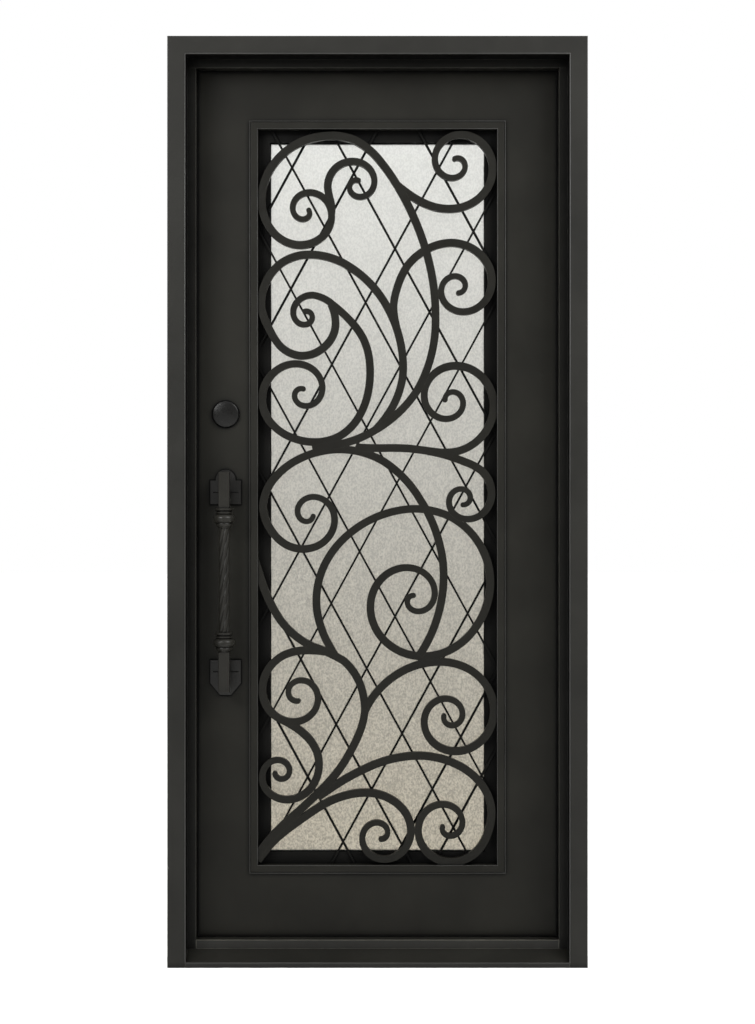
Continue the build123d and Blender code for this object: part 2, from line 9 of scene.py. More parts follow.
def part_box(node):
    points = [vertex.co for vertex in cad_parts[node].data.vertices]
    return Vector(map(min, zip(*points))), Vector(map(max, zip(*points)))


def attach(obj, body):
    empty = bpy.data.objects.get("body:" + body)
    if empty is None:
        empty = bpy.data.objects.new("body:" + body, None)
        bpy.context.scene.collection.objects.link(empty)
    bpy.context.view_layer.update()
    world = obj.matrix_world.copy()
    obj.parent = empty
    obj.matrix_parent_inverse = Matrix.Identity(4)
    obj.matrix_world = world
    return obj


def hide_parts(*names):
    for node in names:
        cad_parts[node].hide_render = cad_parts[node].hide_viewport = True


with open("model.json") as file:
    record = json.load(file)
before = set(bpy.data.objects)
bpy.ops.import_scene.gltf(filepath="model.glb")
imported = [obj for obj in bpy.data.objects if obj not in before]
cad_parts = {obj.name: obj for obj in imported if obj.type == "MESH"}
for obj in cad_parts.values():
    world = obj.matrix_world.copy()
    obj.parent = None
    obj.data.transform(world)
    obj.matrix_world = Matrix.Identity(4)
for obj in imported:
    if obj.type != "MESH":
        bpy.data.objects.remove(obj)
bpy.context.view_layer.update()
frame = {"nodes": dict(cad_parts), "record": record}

# Bodies of the door, and directions in its frame
FRAME_BODY = "door_frame"
LEAF_BODY = "door_leaf"
RIGHT, INWARD, UP = Vector((1, 0, 0)), Vector((0, 1, 0)), Vector((0, 0, 1))

# Places taken from the frame, in metres
head_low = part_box("frame_head")[0]
front_plane = head_low.y
mouth_half = -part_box("jamb_lock_side")[1].x
mouth_top = head_low.z
stop_half = -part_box("stop_lock_side")[1].x
stop_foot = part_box("threshold_stop")[1].z
stop_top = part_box("stop_head")[0].z
seal_low, seal_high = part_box("frame_weatherstrip")
strike_low, strike_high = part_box("strike_plate")
leaf_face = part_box("lock_stile")[0].y
moulding_low, moulding_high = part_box("glazing_moulding")
glass_low, glass_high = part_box("glass_unit")
sash_low, sash_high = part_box("sash_frame")
leaf_back = sash_high.y
rose_low, rose_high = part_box("deadbolt_rose")
turn_low, turn_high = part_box("thumbturn")

# Sizes of the pieces that the ones made here fit, in metres
SILL_LIP = 0.0105
MOULDING_WIDTH = 0.020
SASH_FACE = 0.045
PULL_PLATE, GROOVE_DEPTH = 0.006, 0.002
GROOVE_FLOOR = leaf_face - PULL_PLATE + GROOVE_DEPTH
PIN_STANDOFF = 0.012
HINGE_X, HINGE_Y = 0.4325, leaf_back + PIN_STANDOFF
HINGE_HEIGHTS = (0.260, 1.050, 1.840)
HINGE_BARREL = 0.011
KNUCKLE_HEIGHT = 0.060
# How far a piece made here enters the one that carries it
SINK = 0.0002

# Camera: level with the middle of the door, so that uprights stay upright as in the photograph
CAMERA_DISTANCE = 4.7
CAMERA_HEIGHT = 1.0295
VIEW_HEIGHT = 2.3118
SENSOR_HEIGHT = 36.0


def make_camera():
    data = bpy.data.cameras.new("studio_camera")
    data.sensor_fit = "VERTICAL"
    data.sensor_height = SENSOR_HEIGHT
    data.lens = SENSOR_HEIGHT * CAMERA_DISTANCE / VIEW_HEIGHT
    camera = bpy.data.objects.new("studio_camera", data)
    camera.location = (0, front_plane - CAMERA_DISTANCE, CAMERA_HEIGHT)
    camera.rotation_euler = (pi / 2, 0, 0)
    bpy.context.scene.collection.objects.link(camera)
    bpy.context.scene.camera = camera


# Studio: a white backdrop, a pale floor and soft lights, the strongest above right
WALL_LIGHT, CEILING_LIGHT, BACKDROP_LIGHT = 0.30, 1.60, 1.0
# The room's light turns from the walls' to the ceiling's as a direction rises between these
CEILING_START, CEILING_FULL = 0.2, 0.8
FLOOR_REACH = 30
FLOOR_COLOUR, FLOOR_ROUGHNESS = (0.93, 0.93, 0.92, 1), 0.9
# Name, place, aim, width and height, power and spread in degrees
LIGHTS = (
    ("key_light", (2.6, -2.7, 3.7), (0, 0, 1.5), (2.2, 1.8), 210, 180),
    ("wash_light", (-2.6, -3.4, 3.0), (0, 0, 1.3), (1.8, 1.6), 22, 55),
    ("back_light", (-4.2, 3.6, 3.4), (0, 0, 1.1), (2.2, 2.2), 130, 180),
)


def make_world():
    """White backdrop; the room lights the door mostly from its ceiling, and dimly from its walls."""
    world = bpy.data.worlds.new("studio_world")
    world.use_nodes = True
    tree = world.node_tree
    background = tree.nodes["Background"]
    background.inputs["Color"].default_value = (1, 1, 1, 1)
    rise = axes(tree, "Generated")["Z"]
    room = spread(tree, rise, WALL_LIGHT, CEILING_LIGHT, CEILING_START, CEILING_FULL)
    ray = tree.nodes.new("ShaderNodeLightPath").outputs
    strength = tree.nodes.new("ShaderNodeMix")
    strength.inputs["B"].default_value = BACKDROP_LIGHT
    seen = reckon(tree, "MAXIMUM", ray["Is Camera Ray"], ray["Is Transmission Ray"])
    tree.links.new(seen, strength.inputs["Factor"])
    tree.links.new(room, strength.inputs["A"])
    tree.links.new(strength.outputs["Result"], background.inputs["Strength"])
    bpy.context.scene.world = world


def make_lights():
    for name, place, aim, size, power, spread_angle in LIGHTS:
        data = bpy.data.lights.new(name, "AREA")
        data.shape = "RECTANGLE"
        data.size, data.size_y = size
        data.energy = power
        data.spread = radians(spread_angle)
        light = bpy.data.objects.new(name, data)
        light.location = place
        light.rotation_euler = (Vector(aim) - Vector(place)).to_track_quat("-Z", "Y").to_euler()
        bpy.context.scene.collection.objects.link(light)


def make_floor():
    corners = [(x * FLOOR_REACH, y * FLOOR_REACH, 0) for x, y in ((-1, -1), (1, -1), (1, 1), (-1, 1))]
    mesh = bpy.data.meshes.new("studio_floor")
    mesh.from_pydata(corners, [], [(0, 1, 2, 3)])
    floor = bpy.data.objects.new("studio_floor", mesh)
    bpy.context.scene.collection.objects.link(floor)
    material, tree, shader = new_material("floor_paper")
    shader.inputs["Base Color"].default_value = FLOOR_COLOUR
    shader.inputs["Roughness"].default_value = FLOOR_ROUGHNESS
    mesh.materials.append(material)


# Helpers for nodes; the sockets of a colour Mix node share their names with others, so have numbers
MIX_SHARE, MIX_FIRST, MIX_SECOND, MIX_RESULT = 0, 6, 7, 2


def new_material(name):
    material = bpy.data.materials.new(name)
    material.use_nodes = True
    tree = material.node_tree
    return material, tree, tree.nodes["Principled BSDF"]


def axes(tree, coordinates):
    """X, Y and Z of one kind of texture coordinates."""
    split = tree.nodes.new("ShaderNodeSeparateXYZ")
    source = tree.nodes.new("ShaderNodeTexCoord")
    tree.links.new(source.outputs[coordinates], split.inputs["Vector"])
    return split.outputs


def texture_noise(tree, scale, detail, stretch=(1, 1, 1)):
    """Noise in object space, which is the door's own frame in metres."""
    coordinates = tree.nodes.new("ShaderNodeTexCoord")
    mapping = tree.nodes.new("ShaderNodeMapping")
    mapping.inputs["Scale"].default_value = stretch
    texture = tree.nodes.new("ShaderNodeTexNoise")
    texture.inputs["Scale"].default_value = scale
    texture.inputs["Detail"].default_value = detail
    tree.links.new(coordinates.outputs["Object"], mapping.inputs["Vector"])
    tree.links.new(mapping.outputs["Vector"], texture.inputs["Vector"])
    return texture.outputs["Fac"]


def spread(tree, value, low, high, from_low=0.3, from_high=0.7):
    """The value moved from one range to another; most noise lies in the one given here."""
    node = tree.nodes.new("ShaderNodeMapRange")
    node.inputs["From Min"].default_value = from_low
    node.inputs["From Max"].default_value = from_high
    node.inputs["To Min"].default_value = low
    node.inputs["To Max"].default_value = high
    tree.links.new(value, node.inputs["Value"])
    return node.outputs["Result"]


def reckon(tree, operation, *values):
    """Result of a Math node on numbers or the outputs of other nodes."""
    node = tree.nodes.new("ShaderNodeMath")
    node.operation = operation
    for index, value in enumerate(values):
        if isinstance(value, (int, float)):
            node.inputs[index].default_value = value
        else:
            tree.links.new(value, node.inputs[index])
    return node.outputs["Value"]


def tinted(colour, share):
    return tuple(channel * share for channel in colour)


def blend_colours(tree, share, first, second):
    """From the first colour at a share of 0 to the second at 1; each is a triple or a node's output."""
    node = tree.nodes.new("ShaderNodeMix")
    node.data_type = "RGBA"
    tree.links.new(share, node.inputs[MIX_SHARE])
    for index, colour in ((MIX_FIRST, first), (MIX_SECOND, second)):
        if isinstance(colour, tuple):
            node.inputs[index].default_value = (*colour, 1)
        else:
            tree.links.new(colour, node.inputs[index])
    return node.outputs[MIX_RESULT]


def bump(tree, height, distance, strength, under=None):
    node = tree.nodes.new("ShaderNodeBump")
    node.inputs["Distance"].default_value = distance
    node.inputs["Strength"].default_value = strength
    tree.links.new(height, node.inputs["Height"])
    if under is not None:
        tree.links.new(under, node.inputs["Normal"])
    return node.outputs["Normal"]


# Painted light on the powder coat: painted highlights make its edges paler, and painted shade makes its
# corners dark
EDGE_RADIUS = 0.0035
EDGE_SHARP, EDGE_FLAT = 0.76, 0.97
CORNER_REACH, CORNER_LOSS = 0.013, 0.08
CORNER_SHUT, CORNER_OPEN = 0.45, 0.96
MASK_SAMPLES = 6
# The coat's mottling runs between these shares of its colour, and its gloss drifts by this much
MOTTLE_DARK, MOTTLE_PALE = 0.82, 1.22
GLOSS_DRIFT = 0.06
# Painted shade in the frame's mouth: a face lines the mouth up to the first distance past it, and
# doesn't from the second on
LINING_NEAR, LINING_FAR = 0.0002, 0.0008


def openness(tree, reach, shut):
    """From 0 deep in a corner to 1 on an open face."""
    corner = tree.nodes.new("ShaderNodeAmbientOcclusion")
    corner.samples = MASK_SAMPLES
    corner.inputs["Distance"].default_value = reach
    return spread(tree, corner.outputs["AO"], 0, 1, shut, CORNER_OPEN)


def arris(tree):
    """From 0 on a flat face to 1 along its edges."""
    rounded = tree.nodes.new("ShaderNodeBevel")
    rounded.samples = MASK_SAMPLES
    rounded.inputs["Radius"].default_value = EDGE_RADIUS
    agreement = tree.nodes.new("ShaderNodeVectorMath")
    agreement.operation = "DOT_PRODUCT"
    tree.links.new(rounded.outputs["Normal"], agreement.inputs[0])
    tree.links.new(tree.nodes.new("ShaderNodeNewGeometry").outputs["Normal"], agreement.inputs[1])
    return spread(tree, agreement.outputs["Value"], 1, 0, EDGE_SHARP, EDGE_FLAT)


def outside_mouth(tree):
    """0 on the faces that line the mouth of the frame, 1 elsewhere; it marks where shade is painted."""
    place = axes(tree, "Object")
    reach = reckon(tree, "ABSOLUTE", place["X"])
    beyond = [
        spread(tree, distance, 0, 1, limit + LINING_NEAR, limit + LINING_FAR)
        for distance, limit in ((reach, mouth_half), (place["Z"], mouth_top))
    ]
    return reckon(tree, "MAXIMUM", *beyond)


def powder_coat(name, colour, roughness=0.5, specular=0.5, forged=0.0, edge_highlight_gain=0.0,
                reach=CORNER_REACH, shut=CORNER_SHUT, painted_mouth_shade=False):
    """Dark baked paint: faint mottling, painted shade in its corners, and where asked painted shade in
    the frame's mouth, painted highlights on its edges or a hammer's dents.
    """
    material, tree, shader = new_material(name)
    shader.inputs["Specular IOR Level"].default_value = specular
    mottle = spread(tree, texture_noise(tree, 7, 4), 0, 1)

    def shade(gain):
        dark, pale = (tinted(tinted(colour, share), gain) for share in (MOTTLE_DARK, MOTTLE_PALE))
        return blend_colours(tree, mottle, dark, pale)

    # Painted shade: corners take a darker colour
    clear = openness(tree, reach, shut)
    # Painted shade: the faces lining the frame's mouth take the corners' darker colour too
    if painted_mouth_shade:
        clear = reckon(tree, "MULTIPLY", clear, outside_mouth(tree))
    finish = blend_colours(tree, clear, shade(CORNER_LOSS), shade(1))
    # Painted highlight: edges take a paler colour
    if edge_highlight_gain:
        edge_highlight = reckon(tree, "MULTIPLY", arris(tree), clear)
        finish = blend_colours(tree, edge_highlight, finish, shade(edge_highlight_gain))
    tree.links.new(finish, shader.inputs["Base Color"])
    sheen = spread(tree, texture_noise(tree, 35, 3), roughness - GLOSS_DRIFT, roughness + GLOSS_DRIFT)
    tree.links.new(sheen, shader.inputs["Roughness"])
    normal = bump(tree, texture_noise(tree, 700, 2), 0.0003, 0.25)
    if forged:
        normal = bump(tree, texture_noise(tree, 75, 2), 0.0012, forged, under=normal)
    tree.links.new(normal, shader.inputs["Normal"])
    return material


# Each paint's colour, and what sets it apart from a plain satin coat; the edge gain sets painted
# highlights on the edges, and reach and shut set the painted shade in corners
PAINTS = {
    # Painted shade on the faces lining the frame's mouth
    "frame_paint": dict(colour=(0.0104, 0.0102, 0.0088), specular=0.12, painted_mouth_shade=True),
    "leaf_paint": dict(colour=(0.0081, 0.0078, 0.0062), specular=0.09),
    "iron_scrolls": dict(
        colour=(0.0056, 0.0053, 0.0040), roughness=0.45, specular=0.11, forged=0.5, edge_highlight_gain=1.5,
    ),
    "iron_pull": dict(colour=(0.0046, 0.0043, 0.0035), roughness=0.34, specular=0.28, reach=0.014),
    "dark_bronze": dict(colour=(0.0032, 0.0031, 0.0028), roughness=0.28, specular=0.22, edge_highlight_gain=2),
    "hinge_paint": dict(colour=(0.0095, 0.0092, 0.0080), roughness=0.48, specular=0.18, forged=0.2),
    # Painted shade: sash and lattice are painted near black for the shade of the opening they stand in
    "sash_painted_shade": dict(colour=(0.0032, 0.0031, 0.0026), roughness=0.6, specular=0.06, reach=0.035),
    # Painted shade and painted highlights: the stops are painted darker for the shade of the recess,
    # with paler edges
    "stop_painted_shade_and_highlight": dict(
        colour=(0.0075, 0.0073, 0.0062), roughness=0.45, specular=0.09, edge_highlight_gain=7, reach=0.03,
    ),
    # Painted highlight: the edge beads are painted paler than the frame
    "bead_painted_highlight": dict(colour=(0.0140, 0.0137, 0.0120), roughness=0.4, specular=0.28),
    # Painted highlight: the edges of the sill and threshold are painted much paler
    "step_painted_highlight": dict(colour=(0.0094, 0.0091, 0.0075), roughness=0.4, specular=0.2, edge_highlight_gain=13),
    # Painted shade: the grip's flutes are darkened in their grooves
    "grip_groove_painted_shade": dict(
        colour=(0.0105, 0.0100, 0.0084), roughness=0.34, specular=0.13, reach=0.004, shut=0.66,
    ),
}

# Glass: its colours at top and foot, painted light and shade of the room seen through it, how soon the
# foot's gives way, and how dark the grain is in each
GLASS_TOP, GLASS_FOOT = (0.875, 0.88, 0.842), (0.385, 0.350, 0.280)
GLASS_FADE = 1.5
GRAIN_TOP, GRAIN_FOOT = 0.80, 0.40
GRAIN_LOW, GRAIN_HIGH = 0.40, 0.60
GRAIN_STRETCH = (1.7, 1.7, 1.2)


def rain_glass(name):
    """Obscure glass: a fine upright grain of light and shade, and painted light that makes it paler at
    the top than at the foot.
    """
    material, tree, shader = new_material(name)
    rise = spread(tree, axes(tree, "Object")["Z"], 0, 1, glass_low.z, glass_high.z)
    height = reckon(tree, "POWER", rise, GLASS_FADE)
    pale = blend_colours(tree, height, GLASS_FOOT, GLASS_TOP)
    dark = blend_colours(tree, height, tinted(GLASS_FOOT, GRAIN_FOOT), tinted(GLASS_TOP, GRAIN_TOP))
    grain = spread(tree, texture_noise(tree, 170, 3, GRAIN_STRETCH), 0, 1, GRAIN_LOW, GRAIN_HIGH)
    tree.links.new(blend_colours(tree, grain, dark, pale), shader.inputs["Base Color"])
    shader.inputs["Roughness"].default_value = 0.34
    shader.inputs["IOR"].default_value = 1.45
    shader.inputs["Transmission Weight"].default_value = 1.0
    tree.links.new(bump(tree, grain, 0.0006, 0.2), shader.inputs["Normal"])
    return material


STEEL_DARK, STEEL_PALE = (0.30, 0.28, 0.25), (0.46, 0.43, 0.39)


def lock_steel(name):
    """Brushed steel of the screws and lock plates."""
    material, tree, shader = new_material(name)
    brushed = texture_noise(tree, 60, 4, stretch=(1, 1, 30))
    tree.links.new(blend_colours(tree, brushed, STEEL_DARK, STEEL_PALE), shader.inputs["Base Color"])
    shader.inputs["Metallic"].default_value = 1.0
    tree.links.new(spread(tree, brushed, 0.3, 0.45), shader.inputs["Roughness"])
    tree.links.new(bump(tree, brushed, 0.0002, 0.3), shader.inputs["Normal"])
    return material


RUBBER_DARK, RUBBER_DUSTY = (0.0012, 0.0012, 0.0012), (0.0026, 0.0026, 0.0025)


def seal_rubber(name):
    """Dull black rubber with a little dust."""
    material, tree, shader = new_material(name)
    dust = spread(tree, texture_noise(tree, 40, 4), 0, 1)
    tree.links.new(blend_colours(tree, dust, RUBBER_DARK, RUBBER_DUSTY), shader.inputs["Base Color"])
    shader.inputs["Roughness"].default_value = 0.75
    shader.inputs["Specular IOR Level"].default_value = 0.05
    tree.links.new(bump(tree, texture_noise(tree, 900, 2), 0.0002, 0.3), shader.inputs["Normal"])
    return material


MATERIALS = {name: powder_coat(name, **paint) for name, paint in PAINTS.items()}
MATERIALS["lock_steel"] = lock_steel("lock_steel")
MATERIALS["rubber_seal"] = seal_rubber("rubber_seal")
MATERIALS["rain_glass"] = rain_glass("rain_glass")
# Nodes whose finish differs from that of their slot: painted shade on the sash, the lattice and the
# stops, which stand in the shade, painted edge highlights on the stops, painted shade in the grip's
# grooves, and painted highlights on the edges of the sill and threshold
NODE_FINISHES = {
    "sash_frame": "sash_painted_shade", "diamond_lattice": "sash_painted_shade", "outer_pull_grip": "grip_groove_painted_shade",
    "stop_lock_side": "stop_painted_shade_and_highlight", "stop_hinge_side": "stop_painted_shade_and_highlight", "stop_head": "stop_painted_shade_and_highlight",
    "threshold_stop": "step_painted_highlight", "sill": "step_painted_highlight",
}


def dress_nodes():
    """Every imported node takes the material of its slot, or its own finish."""
    for row in frame["record"]["subparts"]:
        node = frame["nodes"][row["node"]]
        material = MATERIALS[NODE_FINISHES.get(row["node"], row["material_slot"])]
        if not node.material_slots:
            node.data.materials.append(material)
        for slot in node.material_slots:
            slot.material = material


# Welded and cut steel has softened edges, which catch the light; by the start of the node's name
EDGE_SOFTNESS = {
    "scroll": 0.0016, "stem": 0.0016, "small_curls": 0.0016, "stop": 0.0012, "threshold": 0.0015,
    "sill": 0.0015, "outer_pull_plates": 0.0012, "inner_pull_plates": 0.0012, "strike": 0.0003,
    "sash_hinges": 0.0006, "frame_hinge": 0.0008, "leaf_hinge": 0.0008, "thumbturn": 0.0012,
    "sash_frame": 0.001, "glazing_bead": 0.001, "bolt_faceplate": 0.0003,
}
SOFT_SEGMENTS, SOFT_ANGLE = 2, radians(40)
LATTICE_COAT = 0.0005


def soften_edges():
    for name, node in frame["nodes"].items():
        for start, width in EDGE_SOFTNESS.items():
            if name.startswith(start):
                modifier = node.modifiers.new("soft_edges", "BEVEL")
                modifier.width = width
                modifier.segments = SOFT_SEGMENTS
                modifier.limit_method = "ANGLE"
                modifier.angle_limit = SOFT_ANGLE
                modifier.harden_normals = True


def thicken_lattice():
    """The rods carry a coat of paint, which makes them a little thicker than bare wire."""
    coat = frame["nodes"]["diamond_lattice"].modifiers.new("paint_coat", "DISPLACE")
    coat.strength = LATTICE_COAT
    coat.mid_level = 0.0


# Pieces made here, from shapes that are each a list of points and a list of faces
def add_piece(name, shapes, body, slot, smooth=True, finish=None):
    """Mesh of all the shapes, with the finish of its slot or another, carried by a body."""
    points, faces = [], []
    for shape_points, shape_faces in shapes:
        first = len(points)
        points += shape_points
        faces += [tuple(first + index for index in face) for face in shape_faces]
    mesh = bpy.data.meshes.new(name)
    mesh.from_pydata(points, [], faces)
    mesh.validate()
    shell = bmesh.new()
    shell.from_mesh(mesh)
    bmesh.ops.recalc_face_normals(shell, faces=shell.faces)
    shell.to_mesh(mesh)
    shell.free()
    mesh.polygons.foreach_set("use_smooth", [smooth] * len(mesh.polygons))
    mesh.materials.append(MATERIALS[finish or slot])
    piece = bpy.data.objects.new(name, mesh)
    bpy.context.scene.collection.objects.link(piece)
    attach(piece, body)
    return piece


def circle(radius, count):
    """Pairs of offsets round a circle."""
    turns = [2 * pi * step / count for step in range(count)]
    return [(radius * cos(turn), radius * sin(turn)) for turn in turns]


def band(first, second, count):
    """Faces between two rings of points, each given by the place of its first point."""
    faces = []
    for step in range(count):
        after = (step + 1) % count
        faces.append((first + step, first + after, second + after, second + step))
    return faces


def tube(rings, count):
    """Faces of a row of rings, closed at both ends."""
    faces = [tuple(range(count - 1, -1, -1))]
    for ring in range(rings - 1):
        faces += band(ring * count, (ring + 1) * count, count)
    faces.append(tuple(range((rings - 1) * count, rings * count)))
    return faces


def swept_frame(half, low, high, depth, profile):
    """A profile of (outward, inward) offsets carried round an upright rectangle, mitred."""
    corners = ((-1, low, -1), (1, low, -1), (1, high, 1), (-1, high, 1))
    points = [
        (side * (half + out), depth + back, level + rise * out)
        for side, level, rise in corners for out, back in profile
    ]
    count = len(profile)
    faces = []
    for corner in range(len(corners)):
        faces += band(corner * count, (corner + 1) % len(corners) * count, count)
    return points, faces


# The pane is a grid of columns and rows, with ripples this deep
PANE_COLUMNS, PANE_ROWS, PANE_RELIEF = 150, 340, 0.0011


def streak_relief(x, z):
    """Height from 0 to 1 of the rain glass: long uneven ripples that wander down the pane."""
    wander = 0.004 * noise.noise(Vector((x * 18, 3.1, z * 9)))
    long_wave = noise.noise(Vector(((x + wander) * 210, 7.7, z * 34)))
    short_wave = noise.noise(Vector(((x - wander) * 420, 1.3, z * 120)))
    return max(0.0, min(1.0, 0.5 + 0.75 * long_wave + 0.3 * short_wave))


def make_rain_glass():
    """Pane with a rippled outer face, a flat inner face and a rim, closed."""
    points, faces = [], []
    for row in range(PANE_ROWS + 1):
        z = glass_low.z + (glass_high.z - glass_low.z) * row / PANE_ROWS
        for column in range(PANE_COLUMNS + 1):
            x = glass_low.x + (glass_high.x - glass_low.x) * column / PANE_COLUMNS
            on_rim = column in (0, PANE_COLUMNS) or row in (0, PANE_ROWS)
            ripple = 0 if on_rim else streak_relief(x, z)
            points.append((x, glass_low.y + PANE_RELIEF * (1 - ripple), z))
    width = PANE_COLUMNS + 1
    for row in range(PANE_ROWS):
        for column in range(PANE_COLUMNS):
            start = row * width + column
            faces.append((start, start + 1, start + width + 1, start + width))
    rim = list(range(PANE_COLUMNS))
    rim += [row * width + PANE_COLUMNS for row in range(PANE_ROWS)]
    rim += [PANE_ROWS * width + column for column in range(PANE_COLUMNS, 0, -1)]
    rim += [row * width for row in range(PANE_ROWS, 0, -1)]
    back = len(points)
    points += [(points[index][0], glass_high.y, points[index][2]) for index in rim]
    for place in range(len(rim)):
        after = (place + 1) % len(rim)
        faces.append((rim[after], rim[place], back + place, back + after))
    faces.append(tuple(range(back + len(rim) - 1, back - 1, -1)))
    pane = add_piece("rain_glass_pane", [(points, faces)], LEAF_BODY, "rain_glass")
    for polygon in pane.data.polygons:
        polygon.use_smooth = len(polygon.vertices) == 4 and abs(polygon.normal.y) > 0.5
    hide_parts("glass_unit")


# Weatherstrip: width of its foot, and the foot's and the bulb's shares of width and thickness
SEAL_WIDTH = 0.012
SEAL_FOOT = 0.25
BULB_MIDDLE, BULB_HALF = 0.5, 0.36
BULB_START, BULB_RISE = 0.3, 0.7
BULB_STEPS = 14
# Its black lip shows past the stops as a painted shadow line on the leaf: reach, length of the tip, root
# under the stops, and the lip's depths
SHADOW_LIP_REACH, SHADOW_LIP_TIP = 0.0035, 0.0005
SHADOW_LIP_ROOT = 0.0006
SHADOW_LIP_SHOULDER, SHADOW_LIP_MIDDLE, SHADOW_LIP_END = 0.0015, 0.0008, 0.0022


def make_weatherstrip():
    """Bulb seal: a flat foot on the stop with a soft bulb that the leaf presses, and a black lip that
    paints the shadow line past the stops.
    """
    thickness = seal_high.y - seal_low.y
    foot = SEAL_FOOT * thickness
    turns = [pi * step / BULB_STEPS for step in range(BULB_STEPS + 1)]
    bulb = [
        (SEAL_WIDTH * (BULB_MIDDLE - BULB_HALF * cos(turn)),
         thickness * (BULB_START + BULB_RISE * sin(turn)))
        for turn in turns
    ]
    profile = [(0, 0), (0, foot), *bulb, (SEAL_WIDTH, foot), (SEAL_WIDTH, 0)]
    half, low, high = seal_high.x - SEAL_WIDTH, seal_low.z + SEAL_WIDTH, seal_high.z - SEAL_WIDTH
    shadow_lip = [
        (SHADOW_LIP_ROOT, SINK), (-SHADOW_LIP_REACH, SINK), (-SHADOW_LIP_REACH - SHADOW_LIP_TIP, SHADOW_LIP_MIDDLE),
        (-SHADOW_LIP_REACH, SHADOW_LIP_SHOULDER), (SHADOW_LIP_ROOT, SHADOW_LIP_END),
    ]
    shapes = [
        swept_frame(half, low, high, seal_low.y, profile),
        swept_frame(stop_half, stop_foot, stop_top, seal_low.y, shadow_lip),
    ]
    strip = add_piece("bulb_weatherstrip", shapes, FRAME_BODY, "rubber_seal")
    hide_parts("frame_weatherstrip")


# Glazing gasket: its width, its bulge, how far it bites under the sash, and its hold in the glass
GASKET_WIDTH, GASKET_BULGE = 0.0022, 0.0030
GASKET_BITE, GASKET_SINK = 0.0018, 0.0003
GASKET_STEPS = 8


def make_glazing_gasket():
    """Black rubber bead pressed between sash and glass, on both faces of the pane."""
    turns = [pi * step / GASKET_STEPS for step in range(GASKET_STEPS + 1)]
    bead = [
        (GASKET_WIDTH / 2 * (1 - cos(turn)) - GASKET_BITE, -GASKET_BULGE * sin(turn)) for turn in turns
    ]
    half, low, high = sash_high.x - SASH_FACE, sash_low.z + SASH_FACE, sash_high.z - SASH_FACE
    shapes = []
    for depth, side in ((glass_low.y + GASKET_SINK, 1), (glass_high.y - GASKET_SINK, -1)):
        shapes.append(swept_frame(half, low, high, depth, [(out, side * back) for out, back in bead]))
    add_piece("glazing_gasket", shapes, LEAF_BODY, "rubber_seal")


# Beads on the edges: radius, and how far their middle lies behind the face
MOUTH_BEAD, MOUTH_BEAD_DEPTH = 0.0017, 0.0007
MOULDING_BEAD, MOULDING_BEAD_DEPTH, MOULDING_BEAD_INSET = 0.0009, 0.0006, 0.0012
BEAD_STEPS = 12


def make_edge_beads():
    """Fine round beads where the light draws thin lines, painted paler as painted highlights: mouth of
    the frame, edges of the moulding.
    """
    mouth = swept_frame(
        mouth_half, SILL_LIP, mouth_top, front_plane + MOUTH_BEAD_DEPTH, circle(MOUTH_BEAD, BEAD_STEPS)
    )
    add_piece("frame_mouth_bead", [mouth], FRAME_BODY, "frame_paint", finish="bead_painted_highlight")
    depth, section = moulding_low.y + MOULDING_BEAD_DEPTH, circle(MOULDING_BEAD, BEAD_STEPS)
    shapes = []
    for inset in (MOULDING_BEAD_INSET, MOULDING_WIDTH - MOULDING_BEAD_INSET):
        half, low, high = moulding_high.x - inset, moulding_low.z + inset, moulding_high.z - inset
        shapes.append(swept_frame(half, low, high, depth, section))
    add_piece("moulding_edge_beads", shapes, LEAF_BODY, "leaf_paint", finish="bead_painted_highlight")


# Black seals of the pull plates and the rose, which paint the contact shadow round their feet, and black
# fills that paint the shade in the plates' grooves: margin round their feet, rise from the leaf, fill of
# a groove
HARDWARE_SHADOW_MARGIN = 0.0024
SHADOW_SEAL_RISE, GROOVE_SHADE_FILL = 0.0013, 0.0012
GROOVE_GAP = 0.0001
ROSE_STEPS = 64
# A point lies on a plane within this distance, and points are the same to this many decimals
SAME_PLANE, SAME_POINT = 0.0001, 5
# A sharp corner's mitre is cut off below this share, and an offset shorter than this is none
SHARPEST_MITRE, SHORTEST = 0.4, 0.001


def outline_loops(node, depth):
    """Closed outlines of the flat faces that a node has at a depth, as lists of (x, z)."""
    edges, place_of = set(), {}
    for polygon in node.data.polygons:
        corners = [node.matrix_world @ node.data.vertices[index].co for index in polygon.vertices]
        if all(abs(corner.y - depth) < SAME_PLANE for corner in corners):
            keys = [(round(corner.x, SAME_POINT), round(corner.z, SAME_POINT)) for corner in corners]
            place_of.update((key, (corner.x, corner.z)) for key, corner in zip(keys, corners))
            for start, end in zip(keys, keys[1:] + keys[:1]):
                if (end, start) in edges:
                    edges.remove((end, start))
                else:
                    edges.add((start, end))
    after = dict(sorted(edges))
    loops = []
    while after:
        loop, key = [], min(after)
        while key in after:
            loop.append(place_of[key])
            key = after.pop(key)
        loops.append(loop)
    return loops


def grown(loop, margin):
    """The outline moved outwards by a margin, mitred."""
    following = loop[1:] + loop[:1]
    area = sum(a[0] * b[1] - b[0] * a[1] for a, b in zip(loop, following))
    turn = 1 if area > 0 else -1
    result = []
    for before, here, after in zip(loop[-1:] + loop[:-1], loop, following):
        first = Vector((here[0] - before[0], here[1] - before[1])).normalized()
        second = Vector((after[0] - here[0], after[1] - here[1])).normalized()
        across = Vector((first.y + second.y, -first.x - second.x)) * turn
        reach = margin / max(SHARPEST_MITRE, across.length / 2)
        across = across.normalized() * reach if across.length > SHORTEST else across * 0
        result.append((here[0] + across.x, here[1] + across.y))
    return result


def slab(outline, front, back):
    """Flat piece between two depths."""
    count = len(outline)
    points = [(x, depth, z) for depth in (front, back) for x, z in outline]
    caps = [tuple(range(count)), tuple(range(2 * count - 1, count - 1, -1))]
    return points, band(0, count, count) + caps


